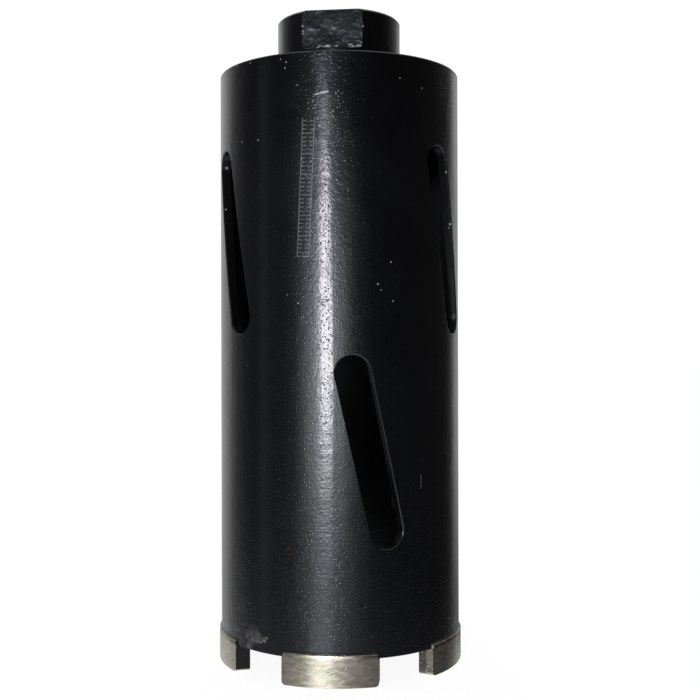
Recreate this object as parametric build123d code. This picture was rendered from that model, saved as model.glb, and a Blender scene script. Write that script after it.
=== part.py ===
from build123d import *
import math
import os

# Diamond core bit: a slotted steel barrel, closed by a welded end plate and drive hub, with
# diamond segments brazed on its lower edge. Millimetres; Z = 0 is the cutting plane, +Z is the
# hub's end, and angles are turned about Z from -Y towards +X.

# Overall
cut_diameter = 65.0
overall_length = 170.0

# Barrel
barrel_wall = 2.4
rim_edge_break = 0.3

# Slots, as seen on the unrolled barrel
slot_width = 8.7
slot_centres = 39.9
slot_slant = 12.6
slot_edge_break = 0.25
slots_per_row = 3
cutter_inside_share = 0.85
cutter_outside_share = 1.05
edge_nudge = 0.01
lower_row_height = 57.1
lower_row_angle = 13.5
upper_row_drop = 45.1
upper_row_angle = -60.5

# Segments
segment_count = 5
first_segment_angle = -4.8
segment_length = 24.0
segment_height = 6.7
segment_outer_stand = 0.5
segment_inner_stand = 0.5
segment_corner_radius = 1.0

# Braze under and beside each segment's top
braze_film = 0.1
outer_bead_height = 2.1
inner_bead_height = 1.4
bead_flat_share = 0.48
bead_end_inset = 0.3

# End plate
plate_thickness = 6.0
plate_fit = 0.1
plate_seam_depth = 2.4
plate_seam_side = 1.6
plate_weld_crown = 0.25

# Drive hub
hub_height = 15.0
hub_diameter = 33.0
hub_edge_break = 0.5
hub_across_flats = 29.0
hub_flat_length = 10.2
hub_flat_angle = -6.7
hub_flat_foot_radius = 0.9
spigot_diameter = 27.0
spigot_fit = 0.1
thread_bore_diameter = 20.955
bore_mouth_break = 1.2
hub_weld_leg = 3.4
hub_weld_fullness = 0.56

# Derived places
cut_radius = cut_diameter / 2
barrel_radius = cut_radius - segment_outer_stand
barrel_bore = barrel_radius - barrel_wall
segment_bore = barrel_bore - segment_inner_stand
barrel_foot = segment_height + braze_film
barrel_top = overall_length - hub_height
plate_underside = barrel_top - plate_thickness
upper_row_height = barrel_top - upper_row_drop
segment_pitch = 360 / segment_count
slot_pitch = 360 / slots_per_row


def ring(outer, inner, bottom, top):
    """A plain round ring between two heights."""
    height = top - bottom
    placed = Pos(0, 0, bottom)
    base = (Align.CENTER, Align.CENTER, Align.MIN)
    solid = Cylinder(outer, height, align=base) - Cylinder(inner, height, align=base)
    return placed * solid


def turned(points):
    """A solid turned about Z from a closed profile of (radius, height) corners."""
    profile = make_face(Plane.XZ * Polyline(*points, close=True))
    return revolve(profile, Axis.Z)


def slot_outline(distance):
    """The slot's outline on a plane at this distance from the axis.

    The slot's walls point at the barrel's axis, so a point of the unrolled outline lands on the
    plane where the line from the axis through it does.
    """
    slant = math.radians(slot_slant)
    half = slot_centres / 2
    reach = slot_width / 2

    def on_plane(across, along):
        arc = across * math.cos(slant) - along * math.sin(slant)
        height = across * math.sin(slant) + along * math.cos(slant)
        return Vector(distance * math.tan(arc / barrel_radius), -distance, height)

    def heading(side, end):
        above = on_plane(side * reach, end * half + edge_nudge)
        below = on_plane(side * reach, end * half - edge_nudge)
        return (above - below).normalized()

    def flank(side):
        steps = [half * step / 2 for step in range(-2, 3)]
        return Spline(*[on_plane(side * reach, along) for along in steps])

    def round_end(end):
        turns = [math.pi * step / 8 for step in range(9)]
        points = [on_plane(reach * math.cos(t), end * (half + reach * math.sin(t))) for t in turns]
        leaving = heading(1, end) * end
        arriving = heading(-1, end) * -end
        return Spline(*points, tangents=[leaving, arriving])

    return Wire([flank(1), round_end(1), flank(-1), round_end(-1)])


def slot_cutter():
    """The solid that one slot takes out of the barrel, at the front and at height 0."""
    inside = slot_outline(barrel_bore * cutter_inside_share)
    outside = slot_outline(cut_radius * cutter_outside_share)
    return Solid.make_loft([inside, outside], ruled=True)


def outer_slot_edges(tube):
    """The slots' edges on the barrel's outer face."""

    def from_axis(edge):
        middle = edge @ 0.5
        return math.hypot(middle.X, middle.Y)

    curved = [edge for edge in tube.edges() if edge.geom_type != GeomType.CIRCLE]
    return [edge for edge in curved if math.isclose(from_axis(edge), barrel_radius, abs_tol=edge_nudge)]


def core_tube():
    """The barrel: a tube with a broken top edge, a seam chamfer inside it and two rows of slots."""
    tube = ring(barrel_radius, barrel_bore, barrel_foot, barrel_top)
    top_edges = tube.edges().group_by(Axis.Z)[-1].sort_by(SortBy.RADIUS)
    tube = chamfer(top_edges[-1], rim_edge_break)
    seam_side = barrel_bore + plate_seam_side / 2
    seam = turned(
        [
            (barrel_bore - plate_fit, barrel_top - plate_seam_depth),
            (barrel_bore, barrel_top - plate_seam_depth),
            (seam_side, barrel_top),
            (barrel_bore - plate_fit, barrel_top),
        ]
    )
    tube = tube - seam
    cutter = slot_cutter()
    for height, angle in ((lower_row_height, lower_row_angle), (upper_row_height, upper_row_angle)):
        for turn in range(slots_per_row):
            tube = tube - Pos(0, 0, height) * Rot(0, 0, angle + turn * slot_pitch) * cutter
    return chamfer(outer_slot_edges(tube), slot_edge_break)


def end_plate():
    """The disc inside the barrel's upper end, with a seam chamfer and a hole for the spigot."""
    edge = barrel_bore - plate_fit
    hole = spigot_diameter / 2 + spigot_fit
    return turned(
        [
            (hole, plate_underside),
            (edge, plate_underside),
            (edge, barrel_top - plate_seam_depth),
            (edge - plate_seam_side, barrel_top),
            (hole, barrel_top),
        ]
    )


def plate_weld():
    """The weld that fills the V seam between the barrel and the plate, slightly crowned."""
    inner = barrel_bore - plate_fit - plate_seam_side
    outer = barrel_bore + plate_seam_side / 2
    root_inner = (barrel_bore - plate_fit, barrel_top - plate_seam_depth)
    root_outer = (barrel_bore, barrel_top - plate_seam_depth)
    middle = ((inner + outer) / 2, barrel_top + plate_weld_crown)
    with BuildSketch(Plane.XZ) as profile:
        with BuildLine():
            Polyline((inner, barrel_top), root_inner, root_outer, (outer, barrel_top))
            ThreePointArc((outer, barrel_top), middle, (inner, barrel_top))
        make_face()
    return revolve(profile.sketch, Axis.Z)


def drive_hub():
    """The turned coupling: a bored boss with two wrench flats and a spigot through the plate."""
    bore = thread_bore_diameter / 2
    outer = hub_diameter / 2
    spigot = spigot_diameter / 2
    hub = turned(
        [
            (bore, plate_underside + bore_mouth_break),
            (bore + bore_mouth_break, plate_underside),
            (spigot, plate_underside),
            (spigot, barrel_top),
            (outer, barrel_top),
            (outer, overall_length - hub_edge_break),
            (outer - hub_edge_break, overall_length),
            (bore + bore_mouth_break, overall_length),
            (bore, overall_length - bore_mouth_break),
        ]
    )
    block = Box(hub_diameter * 2, hub_diameter, hub_height * 2, align=(Align.CENTER, Align.MAX, Align.MIN))
    foot_edge = block.edges().filter_by(Axis.X).group_by(Axis.Y)[-1].sort_by(Axis.Z)[0]
    block = fillet(foot_edge, hub_flat_foot_radius)
    block = Pos(0, -hub_across_flats / 2, overall_length - hub_flat_length) * block
    for side in (0, 180):
        hub = hub - Rot(0, 0, hub_flat_angle + side) * block
    return hub


def hub_weld():
    """The fillet weld round the hub's foot."""
    root = (hub_diameter / 2, barrel_top)
    toe = (root[0] + hub_weld_leg, barrel_top)
    head = (root[0], barrel_top + hub_weld_leg)
    bulge = hub_weld_leg * hub_weld_fullness
    middle = (root[0] + bulge, barrel_top + bulge)
    with BuildSketch(Plane.XZ) as profile:
        with BuildLine():
            Polyline(head, root, toe)
            ThreePointArc(toe, middle, head)
        make_face()
    return revolve(profile.sketch, Axis.Z)


def span(length, bottom, top):
    """A block over the front of the barrel's wall that bounds a piece of this length."""
    base = (Align.CENTER, Align.MAX, Align.MIN)
    return Pos(0, 0, bottom) * Box(length, cut_diameter, top - bottom, align=base)


def segment():
    """One segment at the front: an arc with parallel ends and rounded lower corners."""
    arc = ring(cut_radius, segment_bore, 0, segment_height)
    block = span(segment_length, 0, segment_height)
    corners = block.edges().filter_by(Axis.Y).group_by(Axis.Z)[0]
    return arc & fillet(corners, segment_corner_radius)


def bead_profile(wall, reach, top):
    """A bead's bulging edge, from the segment's face at this reach back to the barrel's wall."""
    flat = segment_height + (top - segment_height) * bead_flat_share
    bulge = math.cos(math.radians(45))
    middle = (wall + reach * bulge, flat + (top - flat) * bulge)
    return [(wall + reach, segment_height), (wall + reach, flat), middle, (wall, top)]


def segment_braze():
    """The braze of one segment at the front: a film under the barrel's edge and its two beads."""
    outer = bead_profile(barrel_radius, segment_outer_stand, segment_height + outer_bead_height)
    inner = bead_profile(barrel_bore, -segment_inner_stand, segment_height + inner_bead_height)
    with BuildSketch(Plane.XZ) as profile:
        with BuildLine():
            Line(*outer[:2])
            ThreePointArc(*outer[1:])
            Polyline(outer[-1], (barrel_radius, barrel_foot), (barrel_bore, barrel_foot), inner[-1])
            ThreePointArc(*inner[1:])
            Polyline(inner[1], inner[0], outer[0])
        make_face()
    bead = revolve(profile.sketch, Axis.Z)
    return bead & span(segment_length - 2 * bead_end_inset, segment_height, outer[-1][1])


def save(name, shape):
    """Write one named piece."""
    export_step(shape, f"parts/{name}.step")


os.makedirs("parts", exist_ok=True)
save("core_tube", core_tube())
save("end_plate", end_plate())
save("plate_weld", plate_weld())
save("drive_hub", drive_hub())
save("hub_weld", hub_weld())
front_segment = segment()
front_braze = segment_braze()
for number in range(segment_count):
    place = Rot(0, 0, first_segment_angle + number * segment_pitch)
    save(f"segment_{number + 1}", place * front_segment)
    save(f"segment_braze_{number + 1}", place * front_braze)
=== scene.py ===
import math
import bpy
import bmesh
from mathutils import Matrix, Vector, noise


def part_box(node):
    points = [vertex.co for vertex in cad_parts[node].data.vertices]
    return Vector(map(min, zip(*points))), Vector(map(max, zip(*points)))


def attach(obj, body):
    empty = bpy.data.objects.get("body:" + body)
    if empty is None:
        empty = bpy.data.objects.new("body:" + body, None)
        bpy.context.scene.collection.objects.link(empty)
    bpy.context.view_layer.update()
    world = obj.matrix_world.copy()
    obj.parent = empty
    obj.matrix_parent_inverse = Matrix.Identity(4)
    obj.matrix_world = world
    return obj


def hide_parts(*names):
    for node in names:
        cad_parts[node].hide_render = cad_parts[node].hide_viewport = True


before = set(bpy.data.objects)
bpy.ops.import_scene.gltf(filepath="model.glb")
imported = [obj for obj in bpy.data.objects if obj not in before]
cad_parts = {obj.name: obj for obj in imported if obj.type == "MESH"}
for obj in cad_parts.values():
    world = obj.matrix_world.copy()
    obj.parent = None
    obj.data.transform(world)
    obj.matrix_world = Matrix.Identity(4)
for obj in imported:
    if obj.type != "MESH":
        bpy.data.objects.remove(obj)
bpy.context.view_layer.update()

scene = bpy.context.scene
mm = 0.001
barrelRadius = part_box("core_tube")[1][0]
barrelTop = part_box("core_tube")[1][2]


# small helpers for node trees

def addNode(tree, kind, **settings):
    node = tree.nodes.new(kind)
    for name, value in settings.items():
        setattr(node, name, value)
    return node


def feed(tree, socket, value):
    if value is None:
        return
    if isinstance(value, (int, float)):
        socket.default_value = value
    elif isinstance(value, tuple):
        socket.default_value = (*value, 1.0) if len(socket.default_value) == 4 else value
    else:
        tree.links.new(value, socket)


def newMaterial(name):
    mat = bpy.data.materials.new(name)
    mat.use_nodes = True
    tree = mat.node_tree
    tree.nodes.clear()
    out = addNode(tree, "ShaderNodeOutputMaterial")
    shader = addNode(tree, "ShaderNodeBsdfPrincipled")
    tree.links.new(shader.outputs[0], out.inputs["Surface"])
    return mat, tree, shader


def mathNode(tree, operation, *values):
    node = addNode(tree, "ShaderNodeMath", operation=operation)
    for socket, value in zip(node.inputs, values):
        feed(tree, socket, value)
    return node.outputs[0]


def vectorMath(tree, operation, *values):
    node = addNode(tree, "ShaderNodeVectorMath", operation=operation)
    for socket, value in zip(node.inputs, values):
        feed(tree, socket, value)
    return node.outputs["Value" if operation in ("LENGTH", "DISTANCE", "DOT_PRODUCT") else "Vector"]


def remap(tree, value, fromLow, fromHigh, toLow=0.0, toHigh=1.0, smooth=False):
    node = addNode(tree, "ShaderNodeMapRange", clamp=True)
    node.interpolation_type = "SMOOTHSTEP" if smooth else "LINEAR"
    for name, amount in (("Value", value), ("From Min", fromLow), ("From Max", fromHigh)):
        feed(tree, node.inputs[name], amount)
    feed(tree, node.inputs["To Min"], toLow)
    feed(tree, node.inputs["To Max"], toHigh)
    return node.outputs["Result"]


def mixColors(tree, factor, first, second):
    node = addNode(tree, "ShaderNodeMix", data_type="RGBA")
    for socket, value in zip((node.inputs[0], node.inputs[6], node.inputs[7]), (factor, first, second)):
        feed(tree, socket, value)
    return node.outputs[2]


def largest(tree, *masks):
    found = masks[0]
    for mask in masks[1:]:
        found = mathNode(tree, "MAXIMUM", found, mask)
    return found


def objectPlace(tree):
    return addNode(tree, "ShaderNodeTexCoord").outputs["Object"]


def stretched(tree, place, scale):
    node = addNode(tree, "ShaderNodeMapping")
    feed(tree, node.inputs["Scale"], scale)
    tree.links.new(place, node.inputs["Vector"])
    return node.outputs[0]


def noiseOn(tree, place, size, detail=2.0, roughness=0.5):
    node = addNode(tree, "ShaderNodeTexNoise")
    for name, value in (("Scale", 1 / size), ("Detail", detail), ("Roughness", roughness), ("Vector", place)):
        feed(tree, node.inputs[name], value)
    return node.outputs["Fac"]


def dotsOn(tree, place, cell, size, share):    # round dots of uneven strength, in a share of the cells
    node = addNode(tree, "ShaderNodeTexVoronoi")
    feed(tree, node.inputs["Scale"], 1 / cell)
    feed(tree, node.inputs["Vector"], place)
    dot = remap(tree, node.outputs["Distance"], 0.0, size / cell / 2, 1.0, 0.0, smooth=True)
    pick = addNode(tree, "ShaderNodeSeparateColor")
    feed(tree, pick.inputs[0], node.outputs["Color"])
    return mathNode(tree, "MULTIPLY", dot, remap(tree, pick.outputs[0], 1 - share, 1 - share * 0.6))


def bumpFrom(tree, height, distance, before=None):
    node = addNode(tree, "ShaderNodeBump")
    feed(tree, node.inputs["Distance"], distance)
    feed(tree, node.inputs["Height"], height)
    feed(tree, node.inputs["Normal"], before)
    return node.outputs[0]


def softEdges(tree, radius):    # the normal as if the edges were rounded, and a mask of those edges
    bevel = addNode(tree, "ShaderNodeBevel", samples=6)
    bevel.inputs["Radius"].default_value = radius
    flat = addNode(tree, "ShaderNodeNewGeometry").outputs["Normal"]
    along = vectorMath(tree, "DOT_PRODUCT", bevel.outputs[0], flat)
    return bevel.outputs[0], remap(tree, along, 0.995, 0.90, smooth=True)


def unrolled(tree, place):    # arc along the barrel's outer face and height, in millimetres
    split = addNode(tree, "ShaderNodeSeparateXYZ")
    tree.links.new(place, split.inputs[0])
    toFront = mathNode(tree, "MULTIPLY", split.outputs["Y"], -1.0)
    angle = mathNode(tree, "ARCTAN2", split.outputs["X"], toFront)
    arc = mathNode(tree, "MULTIPLY", angle, barrelRadius / mm)
    height = mathNode(tree, "DIVIDE", split.outputs["Z"], mm)
    return arc, height


def strokeOn(tree, arc, height, start, end, width):    # one thin straight mark on the unrolled face
    point = addNode(tree, "ShaderNodeCombineXYZ")
    feed(tree, point.inputs[0], arc)
    feed(tree, point.inputs[1], height)
    run = (end[0] - start[0], end[1] - start[1], 0.0)
    length = math.hypot(*run)
    fromStart = vectorMath(tree, "SUBTRACT", point.outputs[0], (start[0], start[1], 0.0))
    unit = (run[0] / length, run[1] / length, 0.0)
    along = mathNode(tree, "DIVIDE", vectorMath(tree, "DOT_PRODUCT", fromStart, unit), length)
    along = remap(tree, along, 0.0, 1.0)
    foot = addNode(tree, "ShaderNodeVectorMath", operation="SCALE")
    feed(tree, foot.inputs[0], run)
    feed(tree, foot.inputs["Scale"], along)
    away = vectorMath(tree, "DISTANCE", fromStart, foot.outputs[0])
    return remap(tree, away, width * 0.3, width * 0.7, 1.0, 0.0, smooth=True)


# small helpers for pieces

def assign(piece, mat):
    piece.data.materials.clear()
    piece.data.materials.append(mat)


sharpFrom = math.radians(50)    # edges that turn by more are shaded crisp


def newPiece(name, bm, mat):
    bmesh.ops.recalc_face_normals(bm, faces=bm.faces)
    for face in bm.faces:
        face.smooth = True
    for edge in bm.edges:
        edge.smooth = edge.calc_face_angle(0.0) < sharpFrom
    mesh = bpy.data.meshes.new(name)
    bm.to_mesh(mesh)
    bm.free()
    piece = bpy.data.objects.new(name, mesh)
    scene.collection.objects.link(piece)
    assign(piece, mat)
    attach(piece, "root")
    return piece


# black paint

paint = {
    "color": (0.0019, 0.0020, 0.0022),
    "sheenTint": (0.78, 0.90, 1.0),
    "dustColor": (0.12, 0.125, 0.13),
    "dust": (2.6 * mm, 0.42 * mm, 0.35),    # cell, size and share of cells
    "dryColor": (0.0050, 0.0046, 0.0036),
    # pale colour of bare marks, also used for painted highlights
    "bareAndHighlightColor": (0.92, 0.92, 0.90),
    "cloudSize": 11 * mm,
    "chippingSize": 0.8 * mm,
    "roughness": 0.35,
    "dullness": 0.25,    # how much rougher the paint is without any gloss
    "smoothBand": (122.0, 140.0, 0.11),    # heights between which it gets smoother, and by how much
    "dryRoughness": 0.38,    # slot walls and the barrel's inside, where the paint is thin and dry
    "coat": 0.9,
    "edgeCoat": 0.1,
    "coatRoughness": 0.15,
    "gritSize": 0.75 * mm,
    "gritHeight": 0.020 * mm,
    "nibs": (0.62 * mm, 0.50 * mm, 0.8),    # cell, size and share of cells
    "nibHeight": 0.030 * mm,
    "lumps": (2.1 * mm, 0.60 * mm, 0.3),
    "lumpHeight": 0.07 * mm,
    "swaySize": 5.0 * mm,    # slow waves that make a long reflection waver
    "swayHeight": 0.055 * mm,
    "peelSize": 2.4 * mm,
    "peelHeight": 0.031 * mm,
    "turningPitch": 0.55 * mm,
    "turningHeight": 0.018 * mm,
    "turningBand": (95.0, 40.0),    # heights in millimetres between which the turning lines come up
    "edgeRadius": 0.22 * mm,
    "wear": 0.015,    # how bare the chipped edges are
}


def outerSkin(tree, place):    # 1 on faces that look away from the axis, 0 on slot walls and inside
    outward = vectorMath(tree, "NORMALIZE", vectorMath(tree, "MULTIPLY", place, (1.0, 1.0, 0.0)))
    facing = addNode(tree, "ShaderNodeNewGeometry").outputs["Normal"]
    return remap(tree, vectorMath(tree, "DOT_PRODUCT", outward, facing), 0.3, 0.8)


# these are functions that add a piece's own bare marks, with its painted highlights, and its own relief
def makePaint(name, bareAndHighlightOn=None, reliefOn=None, dryInside=False, speckle=1.0,
              wear=paint["wear"], gloss=1.0):
    mat, tree, shader = newMaterial(name)
    place = objectPlace(tree)
    arc, height = unrolled(tree, place)
    normal, edges = softEdges(tree, paint["edgeRadius"])
    cloud = noiseOn(tree, place, paint["cloudSize"], 4.0, 0.6)
    chipping = noiseOn(tree, place, paint["chippingSize"], 3.0, 0.7)

    dust = dotsOn(tree, place, *paint["dust"])
    worn = mathNode(tree, "MULTIPLY", edges, remap(tree, chipping, 0.50, 0.62))
    paler = tuple(c * 1.5 for c in paint["color"])
    color = mixColors(tree, remap(tree, cloud, 0.35, 0.65), paint["color"], paler)
    color = mixColors(tree, mathNode(tree, "MULTIPLY", dust, 0.6), color, paint["dustColor"])
    color = mixColors(tree, mathNode(tree, "MULTIPLY", worn, wear), color, paint["bareAndHighlightColor"])
    coat = remap(tree, edges, 0.0, 0.7, paint["coat"] * gloss, paint["edgeCoat"] * gloss)
    if dryInside:
        skin = outerSkin(tree, place)
        color = mixColors(tree, skin, paint["dryColor"], color)
        coat = mathNode(tree, "MULTIPLY", coat, skin)
    # bare marks, and painted highlights where a piece has them, in the same pale colour
    if bareAndHighlightOn:
        color = mixColors(tree, bareAndHighlightOn(tree, place, arc, height), color, paint["bareAndHighlightColor"])
    tree.links.new(color, shader.inputs["Base Color"])
    tree.links.new(coat, shader.inputs["Coat Weight"])
    start, end, smoother = paint["smoothBand"]
    base = paint["roughness"] + (1 - gloss) * paint["dullness"]
    roughness = mathNode(tree, "SUBTRACT", remap(tree, cloud, 0.3, 0.7, base - 0.03, base + 0.04),
                         remap(tree, height, start, end, 0.0, smoother))
    if dryInside:
        roughness = remap(tree, skin, 0.0, 1.0, paint["dryRoughness"], roughness)
    tree.links.new(roughness, shader.inputs["Roughness"])
    shader.inputs["Coat Roughness"].default_value = paint["coatRoughness"]
    shader.inputs["Specular Tint"].default_value = (*paint["sheenTint"], 1)

    if reliefOn:
        relief, depth = reliefOn(tree, place, arc, height)
        normal = bumpFrom(tree, relief, depth, normal)
    sway = noiseOn(tree, stretched(tree, place, (1.0, 1.0, 0.7)), paint["swaySize"], 1.0)
    normal = bumpFrom(tree, sway, paint["swayHeight"], normal)
    normal = bumpFrom(tree, noiseOn(tree, place, paint["peelSize"], 2.0), paint["peelHeight"], normal)
    lines = noiseOn(tree, stretched(tree, place, (0.02, 0.02, 1.0)), paint["turningPitch"], 3.0, 0.7)
    lines = mathNode(tree, "MULTIPLY", lines, remap(tree, height, *paint["turningBand"]))
    normal = bumpFrom(tree, lines, paint["turningHeight"], normal)
    grit = noiseOn(tree, place, paint["gritSize"], 1.0, 0.5)
    normal = bumpFrom(tree, grit, paint["gritHeight"] * speckle, normal)
    nibs = dotsOn(tree, place, *paint["nibs"])
    normal = bumpFrom(tree, nibs, paint["nibHeight"] * speckle, normal)
    lumps = dotsOn(tree, place, *paint["lumps"])
    normal = bumpFrom(tree, lumps, paint["lumpHeight"] * speckle, normal)
    tree.links.new(normal, shader.inputs["Normal"])
    tree.links.new(normal, shader.inputs["Coat Normal"])
    return mat


# the barrel's own marks: a plain double scale etched up its front, scratches and bare specks, and painted
# highlights on the weld spatter

scale = {
    "foot": (-10.5, 105.0),    # arc and height of its lower end
    "length": 33.6,
    "lean": math.radians(2.6),
    "width": 3.0,
    "pitch": 1.0,
    "ticks": {1: 1.05, 5: 1.6},    # every so many pitches, how far a tick reaches in from each rail
    "line": 0.25,
    "strength": 0.36,
}
# scratches: start and end as arc and height on the unrolled face, width and strength
scratches = [
    ((-5.8, 144.25), (-2.7, 144.95), 0.42, 1.0),
    ((21.9, 50.8), (21.8, 47.6), 0.30, 0.22),
    ((-22.3, 9.3), (-21.2, 9.2), 0.24, 0.6),
    ((-21.2, 9.2), (-20.3, 10.1), 0.22, 0.8),
    ((-20.3, 10.1), (-19.9, 9.5), 0.24, 0.8),
    ((-19.9, 9.5), (-19.65, 10.8), 0.22, 0.5),
    ((-19.65, 10.8), (-19.1, 10.6), 0.24, 0.8),
    ((-10.8, 18.9), (-9.3, 18.95), 0.22, 0.11),
    ((-5.9, 19.1), (-4.5, 19.2), 0.22, 0.08),
    ((-0.1, 19.25), (1.9, 19.2), 0.22, 0.08),
    ((4.3, 19.2), (5.8, 19.1), 0.22, 0.08),
]
# a paler patch round the weld spatter, and painted highlights on the spatter's drops as start, end, width and
# strength
palePatchAndHighlights = {
    "middle": (-24.0, 10.8),
    "radius": (3.2, 1.4),    # where it has faded away, and where it is full
    "strength": 0.075,
    "cloudSize": 1.1 * mm,
    "paintedHighlights": [
        ((-26.1, 10.6), (-24.4, 11.3), 2.0, 0.13),
        ((-24.4, 11.3), (-22.9, 11.4), 2.0, 0.15),
        ((-22.9, 11.3), (-21.8, 10.7), 1.6, 0.19),
        ((-24.3, 9.7), (-22.3, 9.8), 1.6, 0.22),
        ((-25.7, 7.5), (-24.9, 8.6), 1.8, 0.20),
        ((-21.3, 10.3), (-20.3, 10.5), 1.0, 0.15),
    ],
}
# a cluster of bare pinpricks, with their cell, size and share of cells
pinpricks = {"middle": (-3.2, 153.3), "radius": (2.2, 1.4), "dots": (0.65 * mm, 0.42 * mm, 0.8)}
# dents, as start, end and width: a strike across the front and nicks beside it
dentDepth = 0.07 * mm
dents = [
    ((-4.9, 94.0), (-3.1, 94.05), 0.55),
    ((-7.4, 99.8), (-6.9, 100.4), 0.5),
    ((1.6, 121.0), (2.1, 120.6), 0.5),
]
# bare specks: place in millimetres and size
specks = [
    ((-12.96, -29.26, 152.68), 0.50),
    ((-13.21, -29.14, 151.24), 0.52),
    ((-14.34, -28.61, 153.59), 0.44),
    ((-10.24, -30.32, 146.79), 0.50),
    ((15.03, -28.25, 148.93), 0.50),
    ((20.72, -24.38, 147.33), 0.50),
    ((-24.57, -20.50, 134.66), 0.50),
    ((-20.20, -24.82, 134.38), 0.55),
    ((27.18, -16.88, 149.02), 0.50),
    ((9.40, -30.59, 98.15), 0.60),
    ((10.14, -30.35, 96.69), 0.45),
    ((12.64, -29.40, 103.59), 0.50),
    ((13.12, -29.19, 94.04), 0.62),
    ((-10.13, -30.35, 93.57), 0.55),
    ((-25.95, -18.73, 154.34), 0.55),
    ((-22.29, -22.96, 154.04), 0.50),
    ((-29.90, -7.16, 130.21), 1.3),
    ((-30.65, -7.32, 130.27), 0.9),
    ((-29.86, -9.63, 118.86), 0.60),
    ((-30.31, -6.72, 132.70), 0.8),
    ((27.32, -16.53, 130.67), 0.75),
    ((27.49, -15.81, 127.64), 0.80),
    ((27.60, -15.70, 126.60), 0.60),
    ((28.76, -13.07, 114.49), 0.80),
    ((28.48, -12.72, 113.59), 0.45),
]


def scaleMask(tree, arc, height):
    # turned into the scale's own lean, so that across and up start at its lower end
    fromArc = mathNode(tree, "SUBTRACT", arc, scale["foot"][0])
    fromFoot = mathNode(tree, "SUBTRACT", height, scale["foot"][1])
    cosine, sine = math.cos(scale["lean"]), math.sin(scale["lean"])
    across = mathNode(tree, "SUBTRACT", mathNode(tree, "MULTIPLY", fromArc, cosine),
                      mathNode(tree, "MULTIPLY", fromFoot, sine))
    up = mathNode(tree, "ADD", mathNode(tree, "MULTIPLY", fromArc, sine),
                  mathNode(tree, "MULTIPLY", fromFoot, cosine))
    # distance in from the nearer of the two rails, negative outside them
    inward = mathNode(tree, "MINIMUM", across, mathNode(tree, "SUBTRACT", scale["width"], across))
    half = scale["line"] / 2
    inLength = mathNode(tree, "MULTIPLY", remap(tree, up, -half * 2, -half),
                        remap(tree, up, scale["length"] + half, scale["length"] + half * 2, 1.0, 0.0))
    found = remap(tree, mathNode(tree, "ABSOLUTE", inward), half * 0.6, half * 1.4, 1.0, 0.0)
    for every, reach in scale["ticks"].items():
        step = mathNode(tree, "PINGPONG", up, scale["pitch"] * every / 2)
        # pingpong is 0 at each whole step, so the tick is where it is small
        tick = remap(tree, step, half * 0.6, half * 1.4, 1.0, 0.0)
        inReach = mathNode(tree, "MULTIPLY", remap(tree, inward, -half, half),
                           remap(tree, inward, reach, reach + half, 1.0, 0.0))
        found = largest(tree, found, mathNode(tree, "MULTIPLY", tick, inReach))
    return mathNode(tree, "MULTIPLY", found, inLength)


def speckOn(tree, place, spot, size):
    away = vectorMath(tree, "DISTANCE", place, tuple(c * mm for c in spot))
    return remap(tree, away, size * 0.2 * mm, size * 0.5 * mm, 1.0, 0.0, smooth=True)


def patchOn(tree, arc, height, job):    # a round patch on the unrolled face
    point = addNode(tree, "ShaderNodeCombineXYZ")
    feed(tree, point.inputs[0], arc)
    feed(tree, point.inputs[1], height)
    away = vectorMath(tree, "DISTANCE", point.outputs[0], (*job["middle"], 0.0))
    return remap(tree, away, *job["radius"], smooth=True)


def wearOn(tree, place, least, most):    # how unevenly a bare mark shows
    return remap(tree, noiseOn(tree, place, 0.5 * mm, 3.0, 0.7), 0.3, 0.55, least, most)


def barrelMarksAndHighlights(tree, place, arc, height):
    wear = wearOn(tree, place, 0.5, 1.0)
    found = mathNode(tree, "MULTIPLY", scaleMask(tree, arc, height), scale["strength"])
    for start, end, width, strength in scratches:
        stroke = strokeOn(tree, arc, height, start, end, width)
        found = largest(tree, found, mathNode(tree, "MULTIPLY", stroke, strength))
    for spot, size in specks:
        found = largest(tree, found, speckOn(tree, place, spot, size))
    pricks = mathNode(tree, "MULTIPLY", dotsOn(tree, place, *pinpricks["dots"]),
                      patchOn(tree, arc, height, pinpricks))
    found = largest(tree, found, pricks)
    found = mathNode(tree, "MULTIPLY", found, wear)
    # a paler patch round the spatter, and painted highlights on its drops where they would catch light, in
    # the pale bare colour
    paleAndHighlit = mathNode(tree, "MULTIPLY", patchOn(tree, arc, height, palePatchAndHighlights), palePatchAndHighlights["strength"])
    for start, end, width, strength in palePatchAndHighlights["paintedHighlights"]:
        paintedHighlight = mathNode(tree, "MULTIPLY", strokeOn(tree, arc, height, start, end, width), strength)
        paleAndHighlit = largest(tree, paleAndHighlit, paintedHighlight)
    cloud = remap(tree, noiseOn(tree, place, palePatchAndHighlights["cloudSize"], 2.0), 0.35, 0.60, 0.6, 1.0)
    return largest(tree, found, mathNode(tree, "MULTIPLY", paleAndHighlit, cloud))


def barrelDents(tree, place, arc, height):
    struck = [strokeOn(tree, arc, height, start, end, width) for start, end, width in dents]
    return mathNode(tree, "MULTIPLY", largest(tree, *struck), -1.0), dentDepth


# the hub's flats carry thick, wrinkled paint, and a painted highlight along their feet

wrinkles = {
    "size": 3.9 * mm,
    "height": 0.15 * mm,
    "flatTurn": math.radians(-6.7),
    "fadeIn": (13.6 * mm, 14.2 * mm),    # distances of the flat from the axis between which they come up
    "fadeOut": (14.7 * mm, 14.5 * mm),
}
hubSpecks = [
    ((-9.41, -13.49, 165.96), 0.75),
    ((-9.29, -13.51, 164.66), 0.65),
    ((-9.29, -13.51, 164.01), 0.50),
    ((6.24, -15.33, 165.40), 0.80),
    ((5.72, -15.27, 161.30), 0.50),
    ((1.08, -14.73, 161.84), 0.40),
]
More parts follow.
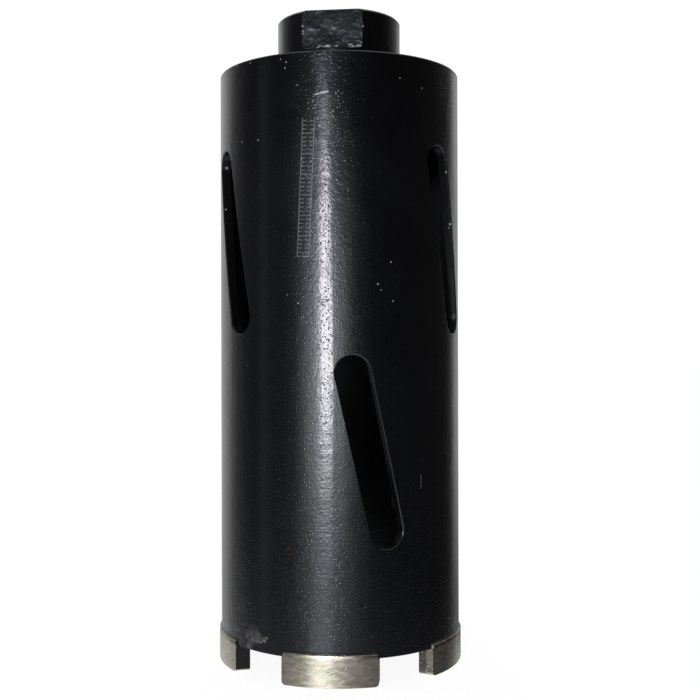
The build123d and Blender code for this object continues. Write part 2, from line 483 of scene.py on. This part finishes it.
# a broken painted highlight along the front flat's foot, standing in for the light its rounded foot catches
# from above
flatFootHighlight = {
    "heights": (159.95, 160.15, 160.55, 160.75),    # where it starts, is full, fades and ends
    "spans": [(-7.0, -0.2), (2.3, 5.9)],    # where it starts and ends along x, in millimetres
    "fade": 0.3,
    "depth": (-13.0 * mm, -13.4 * mm),    # y between which it comes up, so that the hub's back has none
    "waver": 0.28,
    "waverSize": 1.1 * mm,
    "breakSize": 0.9 * mm,
}


def hubMarksAndHighlight(tree, place, arc, height):
    wear = wearOn(tree, place, 0.3, 0.8)
    found = largest(tree, *[speckOn(tree, place, spot, size) for spot, size in hubSpecks])
    split = addNode(tree, "ShaderNodeSeparateXYZ")
    tree.links.new(place, split.inputs[0])
    # painted highlight: a broken pale line along the flat's foot, in the bare colour
    low, full, fading, high = flatFootHighlight["heights"]
    waver, fade = flatFootHighlight["waver"], flatFootHighlight["fade"]
    wavy = remap(tree, noiseOn(tree, place, flatFootHighlight["waverSize"]), 0.3, 0.7, -waver, waver)
    wavy = mathNode(tree, "ADD", height, wavy)
    level = mathNode(tree, "MULTIPLY", remap(tree, wavy, low, full), remap(tree, wavy, high, fading))
    level = mathNode(tree, "MULTIPLY", level, remap(tree, split.outputs["Y"], *flatFootHighlight["depth"]))
    along = []
    for start, end in flatFootHighlight["spans"]:
        begun = remap(tree, split.outputs["X"], start * mm, (start + fade) * mm)
        left = remap(tree, split.outputs["X"], end * mm, (end - fade) * mm)
        along.append(mathNode(tree, "MULTIPLY", begun, left))
    broken = noiseOn(tree, stretched(tree, place, (0.7, 0.3, 2.0)), flatFootHighlight["breakSize"], 2.0)
    level = mathNode(tree, "MULTIPLY", level, remap(tree, broken, 0.44, 0.52))
    return largest(tree, mathNode(tree, "MULTIPLY", found, wear),
                   mathNode(tree, "MULTIPLY", level, largest(tree, *along)))


def hubWrinkles(tree, place, arc, height):
    turned = addNode(tree, "ShaderNodeVectorRotate", rotation_type="Z_AXIS")
    feed(tree, turned.inputs["Vector"], place)
    turned.inputs["Angle"].default_value = -wrinkles["flatTurn"]
    split = addNode(tree, "ShaderNodeSeparateXYZ")
    tree.links.new(turned.outputs[0], split.inputs[0])
    deep = mathNode(tree, "ABSOLUTE", split.outputs["Y"])
    onFlat = remap(tree, deep, *wrinkles["fadeOut"])
    onFlat = mathNode(tree, "MULTIPLY", onFlat, remap(tree, deep, *wrinkles["fadeIn"]))
    folds = noiseOn(tree, stretched(tree, place, (1.0, 1.0, 1.1)), wrinkles["size"], 2.0, 0.5)
    return mathNode(tree, "MULTIPLY", folds, onFlat), wrinkles["height"]


barrelPaint = makePaint("barrelPaint", bareAndHighlightOn=barrelMarksAndHighlights, reliefOn=barrelDents, dryInside=True)
hubPaint = makePaint("hubPaint", bareAndHighlightOn=hubMarksAndHighlight, reliefOn=hubWrinkles, speckle=0.4)
blackPaint = makePaint("blackPaint")
assign(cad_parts["core_tube"], barrelPaint)
assign(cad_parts["drive_hub"], hubPaint)
assign(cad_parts["end_plate"], blackPaint)
print("painted steel done")


# welds, laid in overlapping ripples and painted over

# inner: radius of its inner toe; crown: how far it bulges; sunk: how far its foot lies in the plate;
# root: how deep its seat lies; ripples of this height go once round in these steps
hubWeld = {
    "node": "hub_weld",
    "inner": 16.45 * mm,
    "rise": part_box("hub_weld")[1][2] - barrelTop,
    "sunk": 0.02 * mm,
    "root": 0.0,
    "crown": 0.30 * mm,
    "ripples": 58,
    "height": 0.22 * mm,
    "steps": 464,
    "rows": 9,
}
plateWeld = {
    "node": "plate_weld",
    "inner": 27.9 * mm,
    "rise": 0.0,
    "sunk": 0.0,
    "root": 1.2 * mm,
    "crown": 0.32 * mm,
    "ripples": 118,
    "height": 0.14 * mm,
    "steps": 708,
    "rows": 6,
}
ripple = {
    "trail": 0.45,    # how far a ripple's ends trail its middle, as a share of one ripple
    "drift": 0.25,    # the same for how unevenly they follow each other
    "steepness": 1.6,
    "waver": 0.16 * mm,    # slow unevenness of the whole bead
    "waverSize": 4 * mm,
}


def weldBead(name, job):
    # profile: a seat corner, then the crown's arc from its inner to its outer toe
    bm = bmesh.new()
    rows, inner, outer = job["rows"], job["inner"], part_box(job["node"])[1][0]
    foot = barrelTop - job["sunk"]
    start, end = Vector((inner, 0, foot + job["rise"])), Vector((outer, 0, foot))
    outward = Vector((1, 0, 1)).normalized() if job["rise"] else Vector((0, 0, 1))
    crown = []
    for row in range(rows + 1):
        share = row / rows
        bulge = math.sin(math.pi * share) * job["crown"]
        crown.append(bm.verts.new(start.lerp(end, share) + outward * bulge))
    seat = bm.verts.new((inner, 0, foot - job["root"]))
    loop = [seat, *crown]
    edges = [bm.edges.new((loop[i], loop[(i + 1) % len(loop)])) for i in range(len(loop))]
    bmesh.ops.spin(bm, geom=[*bm.verts, *edges], cent=(0, 0, 0), axis=(0, 0, 1), dvec=(0, 0, 0),
                   angle=math.tau, steps=job["steps"], use_merge=True, use_duplicate=False)
    bm.normal_update()
    middle = (inner + outer) / 2
    reach = (outer - inner) / 2
    for vert in bm.verts:
        away = math.hypot(vert.co.x, vert.co.y)
        across = (away - middle) / reach
        if abs(across) > 0.98 or vert.co.z < foot - 0.5 * mm:
            continue
        turn = math.atan2(vert.co.y, vert.co.x) / math.tau
        uneven = noise.noise(vert.co / ripple["waverSize"])
        trail = across * across * ripple["trail"]
        wave = (turn * job["ripples"] + trail + uneven * ripple["drift"]) % 1.0
        lift = (wave ** ripple["steepness"] - 0.45) * job["height"] + uneven * ripple["waver"]
        vert.co += vert.normal * lift * (1 - across * across)
    piece = newPiece(name, bm, blackPaint)
    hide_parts(job["node"])


weldBead("hubWeldBead", hubWeld)
weldBead("plateWeldBead", plateWeld)
print("welds done")


# female pipe thread in the hub

thread = {
    "pitch": 1.814 * mm,
    "major": 20.955 * mm / 2,
    "minor": 18.631 * mm / 2,
    "sunk": 0.03 * mm,    # how far the ridge's root lies in the bore's wall
    "from": 150.3 * mm,
    "to": 168.9 * mm,
    "crest": 0.30 * mm,
    "root": 0.22 * mm,
    "stepsPerTurn": 56,
    "steel": (0.10, 0.10, 0.10),
    "stained": (0.035, 0.032, 0.030),
    "stainSize": 3 * mm,
    "dragSize": 0.12 * mm,
}


def makeThreadSteel():
    mat, tree, shader = newMaterial("threadSteel")
    place = objectPlace(tree)
    stain = noiseOn(tree, place, thread["stainSize"], 4.0, 0.6)
    color = mixColors(tree, remap(tree, stain, 0.4, 0.62), thread["steel"], thread["stained"])
    tree.links.new(color, shader.inputs["Base Color"])
    shader.inputs["Metallic"].default_value = 0.8
    tree.links.new(remap(tree, stain, 0.3, 0.7, 0.28, 0.5), shader.inputs["Roughness"])
    drag = noiseOn(tree, stretched(tree, place, (0.15, 0.15, 1.0)), thread["dragSize"])
    tree.links.new(bumpFrom(tree, drag, 0.01 * mm), shader.inputs["Normal"])
    return mat


def makeThread():
    bm = bmesh.new()
    pitch, major, minor = thread["pitch"], thread["major"] + thread["sunk"], thread["minor"]
    flank = (pitch - thread["crest"] - thread["root"]) / 2
    heights = (0, flank, flank + thread["crest"], pitch - thread["root"])
    radii = (major, minor, minor, major)
    ridge = [bm.verts.new((r, 0, thread["from"] + h)) for r, h in zip(radii, heights)]
    bm.faces.new(ridge)
    turns = (thread["to"] - thread["from"] - pitch) / pitch
    steps = round(turns * thread["stepsPerTurn"])
    made = bmesh.ops.spin(bm, geom=[*bm.verts, *bm.edges, *bm.faces], cent=(0, 0, 0), axis=(0, 0, 1),
                          dvec=(0, 0, turns * pitch / steps), angle=math.tau * turns, steps=steps)
    lastRidge = [v for v in made["geom_last"] if isinstance(v, bmesh.types.BMVert)]
    bmesh.ops.contextual_create(bm, geom=lastRidge)
    newPiece("hubThread", bm, makeThreadSteel())


makeThread()
print("thread done")


# sintered segments and their braze

sinter = {
    "olive": (0.62, 0.61, 0.48),
    "pink": (0.74, 0.66, 0.58),
    "pale": (0.84, 0.82, 0.75),
    "pit": (0.10, 0.09, 0.07),
    "pits": (1.3 * mm, 0.60 * mm, 0.5),    # cell, size and share of cells
    "grit": (0.85, 0.83, 0.70),
    "grits": (0.8 * mm, 0.36 * mm, 0.6),
    "spray": (0.013, 0.014, 0.013),    # overspray on the end face that the gun reached
    "core": (0.13, 0.135, 0.13),    # the darker steel of a bare end face
    "coreTurn": 30.9,    # radius inside which it shows, in millimetres
    "chip": (0.95, 0.94, 0.90),
    "chips": [
        ((-14.90, -28.88, 7.75), 1.1),
        ((-13.90, -29.38, 7.45), 0.9),
        ((-26.55, -18.75, 7.35), 1.0),
        ((-26.75, -18.46, 6.55), 0.7),
        ((25.90, -19.62, 7.60), 0.8),
        ((26.20, -19.20, 6.80), 0.5),
    ],
    "roughness": (0.22, 0.32),
    "edgeRadius": 0.13 * mm,
    "seam": (6.70, 0.60, 0.30),    # height where the braze starts, and how near to it no edge shows
    "blotchSize": 5.5 * mm,
    "cloudSize": 2.2 * mm,
    "chippingSize": 0.9 * mm,
    "chippingHeight": 0.25 * mm,
    "lineSize": 0.16 * mm,
    "lineHeight": 0.005 * mm,
    "streakSize": 0.5 * mm,
    "streakHeight": 0.012 * mm,
    "pitDepth": 0.05 * mm,
    "paintLine": 7.95,    # height where the paint over the braze ends, in millimetres
    "ragged": 0.05,    # how far that line strays
    "paintStep": 0.10 * mm,
    "beadSize": 1.3 * mm,
    "beadHeight": 0.03 * mm,
}


# masks of the end face that looks the way angles grow, which the spray reached, and of the other
def endFaces(tree, place):
    along = vectorMath(tree, "NORMALIZE", vectorMath(tree, "CROSS_PRODUCT", (0.0, 0.0, 1.0), place))
    facing = addNode(tree, "ShaderNodeNewGeometry").outputs["Normal"]
    along = vectorMath(tree, "DOT_PRODUCT", along, facing)
    return remap(tree, along, 0.70, 0.84, smooth=True), remap(tree, along, -0.70, -0.84, smooth=True)


def chipsOn(tree, place):
    return largest(tree, *[speckOn(tree, place, spot, size) for spot, size in sinter["chips"]])


def sinterLayers(tree, place):
    normal, edges = softEdges(tree, sinter["edgeRadius"])
    height = unrolled(tree, place)[1]
    seam, clear, near = sinter["seam"]
    fromSeam = mathNode(tree, "ABSOLUTE", mathNode(tree, "SUBTRACT", height, seam))
    away = remap(tree, fromSeam, near, clear)
    edges = mathNode(tree, "MULTIPLY", edges, away)
    mix = addNode(tree, "ShaderNodeMix", data_type="VECTOR")
    flat = addNode(tree, "ShaderNodeNewGeometry").outputs["Normal"]
    for number, value in ((0, away), (4, flat), (5, normal)):
        feed(tree, mix.inputs[number], value)
    normal = mix.outputs[1]
    blotch = noiseOn(tree, stretched(tree, place, (1.0, 1.0, 1.6)), sinter["blotchSize"], 3.0, 0.55)
    cloud = noiseOn(tree, stretched(tree, place, (1.0, 1.0, 2.5)), sinter["cloudSize"], 3.0, 0.6)
    lines = noiseOn(tree, stretched(tree, place, (0.06, 0.06, 1.0)), sinter["lineSize"], 3.0, 0.7)
    streaks = noiseOn(tree, stretched(tree, place, (0.16, 0.16, 1.0)), sinter["streakSize"], 3.0, 0.6)
    pits = dotsOn(tree, place, *sinter["pits"])
    grit = dotsOn(tree, place, *sinter["grits"])
    chipping = noiseOn(tree, place, sinter["chippingSize"], 3.0, 0.7)
    worn = mathNode(tree, "MULTIPLY", edges, remap(tree, chipping, 0.50, 0.60, 0.0, 0.8))
    color = mixColors(tree, remap(tree, blotch, 0.42, 0.58), sinter["olive"], sinter["pink"])
    color = mixColors(tree, remap(tree, cloud, 0.50, 0.64, 0.0, 0.5), color, sinter["pale"])
    color = mixColors(tree, remap(tree, streaks, 0.52, 0.36, 0.0, 0.17), color, sinter["pit"])
    color = mixColors(tree, remap(tree, lines, 0.56, 0.40, 0.0, 0.10), color, sinter["pit"])
    color = mixColors(tree, mathNode(tree, "MULTIPLY", grit, 0.25), color, sinter["grit"])
    color = mixColors(tree, mathNode(tree, "MULTIPLY", pits, 0.8), color, sinter["pit"])
    color = mixColors(tree, worn, color, sinter["pit"])
    roughness = remap(tree, cloud, 0.35, 0.65, *sinter["roughness"])
    normal = bumpFrom(tree, lines, sinter["lineHeight"], normal)
    normal = bumpFrom(tree, streaks, sinter["streakHeight"], normal)
    normal = bumpFrom(tree, mathNode(tree, "MULTIPLY", pits, -1.0), sinter["pitDepth"], normal)
    chipped = mathNode(tree, "MULTIPLY", edges, chipping)
    normal = bumpFrom(tree, chipped, sinter["chippingHeight"], normal)
    return color, roughness, normal


def makeSinter():
    mat, tree, shader = newMaterial("sinteredMetal")
    place = objectPlace(tree)
    color, roughness, normal = sinterLayers(tree, place)
    sprayed, bareEnd = endFaces(tree, place)
    away = vectorMath(tree, "LENGTH", vectorMath(tree, "MULTIPLY", place, (1.0, 1.0, 0.0)))
    steel = remap(tree, away, (sinter["coreTurn"] + 0.1) * mm, (sinter["coreTurn"] - 0.1) * mm, 0.3, 0.80)
    color = mixColors(tree, mathNode(tree, "MULTIPLY", bareEnd, steel), color, sinter["core"])
    chips = chipsOn(tree, place)
    color = mixColors(tree, mathNode(tree, "MULTIPLY", chips, 0.9), color, sinter["chip"])
    sprayed = mathNode(tree, "MULTIPLY", sprayed, remap(tree, chips, 0.0, 1.0, 1.0, 0.0))
    tree.links.new(mixColors(tree, sprayed, color, sinter["spray"]), shader.inputs["Base Color"])
    tree.links.new(remap(tree, sprayed, 0.0, 1.0, 1.0, 0.0), shader.inputs["Metallic"])
    tree.links.new(remap(tree, sprayed, 0.0, 1.0, roughness, 0.5), shader.inputs["Roughness"])
    tree.links.new(normal, shader.inputs["Normal"])
    return mat


def makeBrazePaint():
    # paint over the bead, ground off flush with the segment below the paint line
    mat, tree, shader = newMaterial("brazePaint")
    place = objectPlace(tree)
    height = unrolled(tree, place)[1]
    stray = sinter["ragged"]
    ragged = remap(tree, noiseOn(tree, place, 1.5 * mm, 4.0, 0.6), 0.3, 0.7, -stray, stray)
    line = mathNode(tree, "ADD", height, ragged)
    painted = remap(tree, line, sinter["paintLine"] - 0.06, sinter["paintLine"] + 0.06)
    painted = largest(tree, painted, endFaces(tree, place)[0])
    color, roughness, normal = sinterLayers(tree, place)
    chips = chipsOn(tree, place)
    color = mixColors(tree, mathNode(tree, "MULTIPLY", chips, 0.9), color, sinter["chip"])
    painted = mathNode(tree, "MULTIPLY", painted, remap(tree, chips, 0.0, 1.0, 1.0, 0.0))
    tree.links.new(mixColors(tree, painted, color, paint["color"]), shader.inputs["Base Color"])
    tree.links.new(remap(tree, painted, 0.0, 1.0, 1.0, 0.0), shader.inputs["Metallic"])
    tree.links.new(remap(tree, painted, 0.0, 1.0, roughness, paint["roughness"]), shader.inputs["Roughness"])
    tree.links.new(mathNode(tree, "MULTIPLY", painted, paint["coat"]), shader.inputs["Coat Weight"])
    shader.inputs["Coat Roughness"].default_value = paint["coatRoughness"]
    normal = bumpFrom(tree, painted, sinter["paintStep"], normal)
    normal = bumpFrom(tree, noiseOn(tree, place, sinter["beadSize"], 3.0), sinter["beadHeight"], normal)
    tree.links.new(normal, shader.inputs["Normal"])
    tree.links.new(normal, shader.inputs["Coat Normal"])
    return mat


# braze bead: a soft shoulder from the segment's face up to the barrel, inside and out

braze = {
    "halfLength": 11.7 * mm,
    # radius and height of its outline, from its outer foot over the barrel's edge to its inner foot
    "outline": [(32.50, 6.70), (32.50, 7.80), (32.48, 7.87), (32.40, 7.92), (32.16, 7.95), (32.12, 8.05),
                (32.19, 8.14), (32.22, 8.26), (32.18, 8.38), (32.08, 8.45), (31.98, 8.48), (31.98, 6.78),
                (29.62, 6.78), (29.62, 8.10), (29.50, 7.85), (29.32, 7.60), (29.18, 7.35), (29.10, 7.05),
                (29.10, 6.70)],
    "steps": 96,
    "uneven": 0.06 * mm,
    "sink": 0.18,    # how much lower it is at its ends, as a share of its height
    "firstTurn": math.radians(-4.8),
    "count": 5,
}


def brazeBead(number, material):
    turn = braze["firstTurn"] + (number - 1) * math.tau / braze["count"]
    reach = math.asin(braze["halfLength"] / (braze["outline"][0][0] * mm))
    bm = bmesh.new()
    outline = [bm.verts.new((0, -radius * mm, height * mm)) for radius, height in braze["outline"]]
    face = bm.faces.new(outline)
    bmesh.ops.rotate(bm, verts=bm.verts, cent=(0, 0, 0), matrix=Matrix.Rotation(turn - reach, 3, "Z"))
    bmesh.ops.spin(bm, geom=[*bm.verts, *bm.edges, face], cent=(0, 0, 0), axis=(0, 0, 1),
                   dvec=(0, 0, 0), angle=reach * 2, steps=braze["steps"], use_merge=False)
    foot = braze["outline"][0][1] * mm
    for vert in bm.verts:
        radius = math.hypot(vert.co.x, vert.co.y)
        angle = math.atan2(vert.co.x, -vert.co.y)
        share = ((angle - turn + math.pi) % math.tau - math.pi) / reach
        # parallel ends, as the segment has, and a height that wavers and sinks towards them
        placed = turn + math.asin(share * braze["halfLength"] / radius)
        rise = vert.co.z - foot
        waver = noise.noise((placed * 14, radius * 300, number)) * braze["uneven"]
        sink = 1 - braze["sink"] * abs(share) ** 12
        height = foot + (rise + waver) * sink if rise > 0.2 * mm else vert.co.z
        vert.co = (radius * math.sin(placed), -radius * math.cos(placed), height)
    piece = newPiece(f"brazeBead{number}", bm, material)
    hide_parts(f"segment_braze_{number}")


sinteredMetal = makeSinter()
brazePaint = makeBrazePaint()
for number in range(1, braze["count"] + 1):
    assign(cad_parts[f"segment_{number}"], sinteredMetal)
    brazeBead(number, brazePaint)
print("segments done")


# weld spatter on the barrel, under the paint

spatter = {
    "middle": (-24.0, 10.2),    # arc and height of the patch, in millimetres as all here
    "half": (5.2, 3.2),
    "cells": 84,
    "sunk": 0.14,    # how far its edge lies under the paint
    "wall": 0.4,
    # flattened drops: arc, height, half width, half height and stand
    "drops": [(-24.0, 10.6, 3.1, 1.9, 0.34), (-25.2, 8.1, 1.2, 1.2, 0.36)],
    # small pits that gas left in them: arc, height, radius and depth
    "pits": [(-24.9, 10.2, 0.55, 0.17), (-23.2, 10.3, 0.50, 0.15), (-25.0, 8.9, 0.60, 0.16)],
    "uneven": 0.05,
}


def makeSpatter():
    bm = bmesh.new()
    cells = spatter["cells"]
    bmesh.ops.create_grid(bm, x_segments=cells, y_segments=cells, size=1)
    middle, half = spatter["middle"], spatter["half"]
    for vert in bm.verts:
        edge = max(abs(vert.co.x), abs(vert.co.y))
        arc, height = middle[0] + vert.co.x * half[0], middle[1] + vert.co.y * half[1]
        stand = 0.0
        for dropArc, dropHeight, halfWidth, halfHeight, tall in spatter["drops"]:
            away = math.hypot((arc - dropArc) / halfWidth, (height - dropHeight) / halfHeight)
            stand = max(stand, tall * math.exp(-away ** 3))
        for pitArc, pitHeight, radius, deep in spatter["pits"]:
            away = math.hypot(arc - pitArc, height - pitHeight) / radius
            stand -= deep * math.exp(-away ** 2)
        rough = noise.noise((arc * 0.9, height * 0.9, 3.0)) * spatter["uneven"]
        inside = 1 - min(1, max(0, (edge - 0.55) / 0.4))
        stand = (stand + rough * inside) * min(1, (1 - edge) / 0.12) - spatter["sunk"]
        radius = barrelRadius + stand * mm
        turn = arc * mm / barrelRadius
        vert.co = (radius * math.sin(turn), -radius * math.cos(turn), height * mm)
    bm.normal_update()
    bmesh.ops.solidify(bm, geom=bm.faces, thickness=spatter["wall"] * mm)
    newPiece("weldSpatter", bm, spatterPaint)


spatterPaint = makePaint("spatterPaint", bareAndHighlightOn=barrelMarksAndHighlights, speckle=0.3, wear=0.0, gloss=0.5)
makeSpatter()
print("spatter done")


# studio

studio = {
    "cameraDistance": 0.2992,
    "cameraHeight": 0.085,
    "lens": 56.62,
    "roll": 0.0026,
    "shift": (10.4, -12.0),    # pixels of the 700 pixel frame
    "floorSize": 6.0,
    "floorGap": 0.02 * mm,
    "floorColor": (0.25, 0.25, 0.25, 1),
    "floorGlow": 0.93,
    "backdrop": 1.05,
    # brightness round the horizon, by azimuth in degrees from the front towards +X
    "surround": [(-180, 0.22), (-172, 0.47), (-165, 0.56), (-140, 0.54), (-132, 0.41), (-124, 0.24),
                 (-114, 0.13), (-104, 0.075), (-94, 0.045), (-84, 0.05), (-77, 0.21), (-68, 0.07),
                 (-30, 0.045), (-8, 0.03), (12, 0.03), (126, 0.03), (132, 0.04), (137, 0.20),
                 (142, 0.40), (150, 0.52), (160, 0.42), (168, 0.25), (174, 0.20), (180, 0.20)],
    # the same below the band that the barrel mirrors, seen mostly in the cutting end
    "lowSurround": [(-180, 0.86), (-150, 0.88), (-120, 0.72), (-90, 0.32), (-60, 0.34),
                    (-35, (0.35, 0.35, 0.31)), (-29, 0.5), (-25, (2.15, 2.08, 2.5)),
                    (-13, (2.15, 2.08, 2.5)), (-9, 0.70), (5, 0.33), (25, 0.25), (45, 0.18),
                    (120, 0.08), (135, 0.25), (155, 0.95), (180, 0.90)],
    "lowBand": (-15.85, -16.15),    # elevations between which it takes over
    # and above that band, seen mostly in the hub
    "highSurround": [(-180, 0.42), (-168, 0.60), (-140, 0.60), (-124, 0.26), (-104, 0.08), (-84, 0.05),
                     (-30, 0.04), (-20, 0.05), (-6, 0.05), (0, 0.02), (98, 0.02), (108, 0.05),
                     (120, 0.16), (135, 0.24), (150, 0.40), (165, 0.32), (180, 0.35)],
    "highBand": (14.0, 14.9),
    "above": 0.42,
    "below": 0.9,
    "horizon": (30, 58),    # elevations between which the surround gives way to above or below
    "frontGlow": {"azimuth": -13, "reach": 55, "level": 0.23, "from": -2.0, "to": -11.0},
    # soft patches round the key light: azimuth, half its flat width, half its whole width, brightness,
    # and the elevations between which it fades in from above and out below
    "patches": [
        (-13, 9, 29, 2.15, (7.0, 1.5), (-4.5, -11)),
        (-14, 2, 10, 4.3, (7.5, 3.5), (-4, -9.0)),
        (-14, 1, 6, 6.5, (-3.2, -4.8), (-4.5, -9.2)),
    ],
    "keyAzimuth": -14.0,
    "keyDistance": 0.80,
    "key": {"size": (0.034, 0.235), "height": 0.121, "power": 1.0},
    "topKey": {"size": (0.022, 0.092), "height": 0.287, "power": 0.036},
    "keyColor": (1.0, 0.955, 1.04),
    # how each side dims towards the cutting end: azimuths, elevations and what is left
    "fades": [((60, 100), (-5, -14), 0.28), ((-60, -100), (-7, -13), 0.75)],
}


def rampOf(tree, azimuth, levels):
    ramp = addNode(tree, "ShaderNodeValToRGB")
    stops = ramp.color_ramp.elements
    while len(stops) < len(levels):
        stops.new(0.5)
    for stop, (angle, level) in zip(stops, levels):
        stop.position = (angle + 180) / 360
        stop.color = (*level, 1) if isinstance(level, tuple) else (level, level, level, 1)
    tree.links.new(remap(tree, azimuth, -180, 180), ramp.inputs[0])
    return ramp.outputs[0]


def makeWorld():
    world = bpy.data.worlds.new("studioSurround")
    scene.world = world
    world.use_nodes = True
    tree = world.node_tree
    tree.nodes.clear()
    out = addNode(tree, "ShaderNodeOutputWorld")
    way = addNode(tree, "ShaderNodeTexCoord").outputs["Generated"]
    split = addNode(tree, "ShaderNodeSeparateXYZ")
    tree.links.new(way, split.inputs[0])
    toFront = mathNode(tree, "MULTIPLY", split.outputs["Y"], -1.0)
    azimuth = mathNode(tree, "DEGREES", mathNode(tree, "ARCTAN2", split.outputs["X"], toFront))
    elevation = mathNode(tree, "DEGREES", mathNode(tree, "ARCSINE", split.outputs["Z"]))
    horizon = rampOf(tree, azimuth, studio["surround"])
    for side, span, left in studio["fades"]:
        fading = mathNode(tree, "MULTIPLY", remap(tree, azimuth, *side),
                          remap(tree, elevation, *span, 0.0, 1 - left))
        horizon = mathNode(tree, "MULTIPLY", horizon, mathNode(tree, "SUBTRACT", 1.0, fading))
    glow = studio["frontGlow"]
    aside = mathNode(tree, "ABSOLUTE", mathNode(tree, "SUBTRACT", azimuth, glow["azimuth"]))
    low = remap(tree, elevation, glow["from"], glow["to"], 0.0, glow["level"], smooth=True)
    near = remap(tree, aside, 0, glow["reach"], 1.0, 0.0, smooth=True)
    level = mathNode(tree, "MAXIMUM", horizon, mathNode(tree, "MULTIPLY", near, low))
    for middle, flat, reach, strength, top, bottom in studio["patches"]:
        aside = mathNode(tree, "ABSOLUTE", mathNode(tree, "SUBTRACT", azimuth, middle))
        band = mathNode(tree, "MULTIPLY", remap(tree, elevation, *top),
                        remap(tree, elevation, *bottom, 1.0, 0.0))
        patch = remap(tree, aside, flat, reach, strength, 0.0, smooth=True)
        level = mathNode(tree, "ADD", level, mathNode(tree, "MULTIPLY", patch, band))
    level = remap(tree, elevation, *studio["lowBand"], level, rampOf(tree, azimuth, studio["lowSurround"]))
    level = remap(tree, elevation, *studio["highBand"], level, rampOf(tree, azimuth, studio["highSurround"]))
    steep = mathNode(tree, "ABSOLUTE", elevation)
    far = remap(tree, elevation, -1, 1, studio["below"], studio["above"])
    level = remap(tree, steep, *studio["horizon"], level, far, smooth=True)
    soft = addNode(tree, "ShaderNodeBackground")
    tree.links.new(level, soft.inputs["Color"])
    white = addNode(tree, "ShaderNodeBackground")
    white.inputs["Color"].default_value = (1, 1, 1, 1)
    white.inputs["Strength"].default_value = studio["backdrop"]
    seen = addNode(tree, "ShaderNodeLightPath").outputs["Is Camera Ray"]
    mix = addNode(tree, "ShaderNodeMixShader")
    tree.links.new(seen, mix.inputs[0])
    tree.links.new(soft.outputs[0], mix.inputs[1])
    tree.links.new(white.outputs[0], mix.inputs[2])
    tree.links.new(mix.outputs[0], out.inputs["Surface"])


def makeFloor():
    bm = bmesh.new()
    bmesh.ops.create_grid(bm, x_segments=1, y_segments=1, size=studio["floorSize"] / 2)
    bmesh.ops.translate(bm, verts=bm.verts, vec=(0, 0, -studio["floorGap"]))
    mesh = bpy.data.meshes.new("studioFloor")
    bm.to_mesh(mesh)
    bm.free()
    floor = bpy.data.objects.new("studioFloor", mesh)
    scene.collection.objects.link(floor)
    floor.visible_glossy = False    # the surround itself carries on below the horizon for reflections
    mat = bpy.data.materials.new("paleFloor")
    mat.use_nodes = True
    tree = mat.node_tree
    tree.nodes.clear()
    out = addNode(tree, "ShaderNodeOutputMaterial")
    dull = addNode(tree, "ShaderNodeBsdfDiffuse")
    dull.inputs["Color"].default_value = studio["floorColor"]
    glow = addNode(tree, "ShaderNodeEmission")
    glow.inputs["Strength"].default_value = studio["floorGlow"]
    seen = addNode(tree, "ShaderNodeLightPath").outputs["Is Camera Ray"]
    lit = addNode(tree, "ShaderNodeAddShader")
    tree.links.new(dull.outputs[0], lit.inputs[0])
    tree.links.new(glow.outputs[0], lit.inputs[1])
    mix = addNode(tree, "ShaderNodeMixShader")
    tree.links.new(seen, mix.inputs[0])
    tree.links.new(dull.outputs[0], mix.inputs[1])
    tree.links.new(lit.outputs[0], mix.inputs[2])
    # from below the floor is clear, so that the cutting end can be looked at
    sided = addNode(tree, "ShaderNodeMixShader")
    tree.links.new(addNode(tree, "ShaderNodeNewGeometry").outputs["Backfacing"], sided.inputs[0])
    tree.links.new(mix.outputs[0], sided.inputs[1])
    tree.links.new(addNode(tree, "ShaderNodeBsdfTransparent").outputs[0], sided.inputs[2])
    tree.links.new(sided.outputs[0], out.inputs["Surface"])
    assign(floor, mat)


def makeStrip(name, strip):
    lamp = bpy.data.lights.new(name, "AREA")
    lamp.shape = "RECTANGLE"
    lamp.size, lamp.size_y = strip["size"]
    lamp.energy = strip["power"]
    lamp.color = studio["keyColor"]
    key = bpy.data.objects.new(name, lamp)
    scene.collection.objects.link(key)
    azimuth = math.radians(studio["keyAzimuth"])
    reach = studio["keyDistance"]
    key.location = (reach * math.sin(azimuth), -reach * math.cos(azimuth), strip["height"])
    key.rotation_euler = (math.radians(90), 0, azimuth)
    key.visible_camera = False


def makeCamera():
    data = bpy.data.cameras.new("camera")
    data.sensor_width = 36
    data.lens = studio["lens"]
    data.shift_x, data.shift_y = (pixels / 700 for pixels in studio["shift"])
    camera = bpy.data.objects.new("camera", data)
    camera.location = (0, -studio["cameraDistance"], studio["cameraHeight"])
    camera.rotation_euler = (math.radians(90), studio["roll"], 0)
    scene.collection.objects.link(camera)
    scene.camera = camera


makeWorld()
makeFloor()
makeStrip("keyStrip", studio["key"])
makeStrip("topKeyStrip", studio["topKey"])
makeCamera()
scene.view_settings.view_transform = "Standard"
print("studio done")
